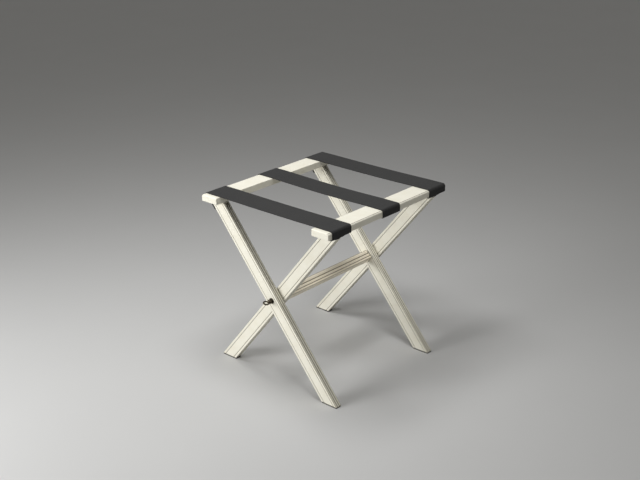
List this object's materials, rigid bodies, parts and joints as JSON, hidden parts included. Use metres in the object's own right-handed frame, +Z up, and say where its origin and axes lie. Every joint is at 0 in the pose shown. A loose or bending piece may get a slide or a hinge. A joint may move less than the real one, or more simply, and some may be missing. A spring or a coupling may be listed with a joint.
{
  "type": "luggage rack",
  "caption": "Folding luggage rack: two crossed painted wood frames on eye bolts, held open by wide dark straps, with a stretcher between.",
  "frame": {"origin": "middle of the rack on the floor, under the pivot's axis", "axes": "+X along the straps towards the right rail, +Y along the rails towards the back, +Z up"},
  "size_m": [0.4616, 0.5076, 0.5083],
  "materials": {
    "painted_wood": "ivory paint with a dark glaze rubbed into the grooves, satin",
    "strap_fabric": "matt charcoal webbing with stitched edges",
    "dark_bronze": "antique bronze plating over steel",
    "bright_steel": "zinc plated",
    "rubber_pad": "matt",
    "dowel_wood": "bare beech"
  },
  "bodies": {
    "left_frame": {"left_rail": "painted_wood", "left_front_leg": "painted_wood", "left_rear_leg": "painted_wood", "left_dowels": "dowel_wood", "left_foot_pads": "rubber_pad", "left_pad_tacks": "bright_steel", "left_strap_tacks": "dark_bronze", "front_strap": "strap_fabric", "middle_strap": "strap_fabric", "rear_strap": "strap_fabric"},
    "right_frame": {"right_rail": "painted_wood", "right_front_leg": "painted_wood", "right_rear_leg": "painted_wood", "right_dowels": "dowel_wood", "right_foot_pads": "rubber_pad", "right_pad_tacks": "bright_steel", "right_strap_tacks": "dark_bronze", "stretcher": "painted_wood", "threaded_inserts": "bright_steel", "front_pivot_bolt": "dark_bronze", "rear_pivot_bolt": "dark_bronze", "head_washers": "dark_bronze", "spacer_washers": "dark_bronze", "stretcher_washers": "dark_bronze"}
  },
  "joints": [
    {"name": "fold", "type": "hinge", "parent": "left_frame", "child": "right_frame", "pos_m": [0, 0, 0.247], "axis": [0, -1, 0], "range_deg": [0, 65], "deforming": ["front_strap", "middle_strap", "rear_strap"]}
  ]
}
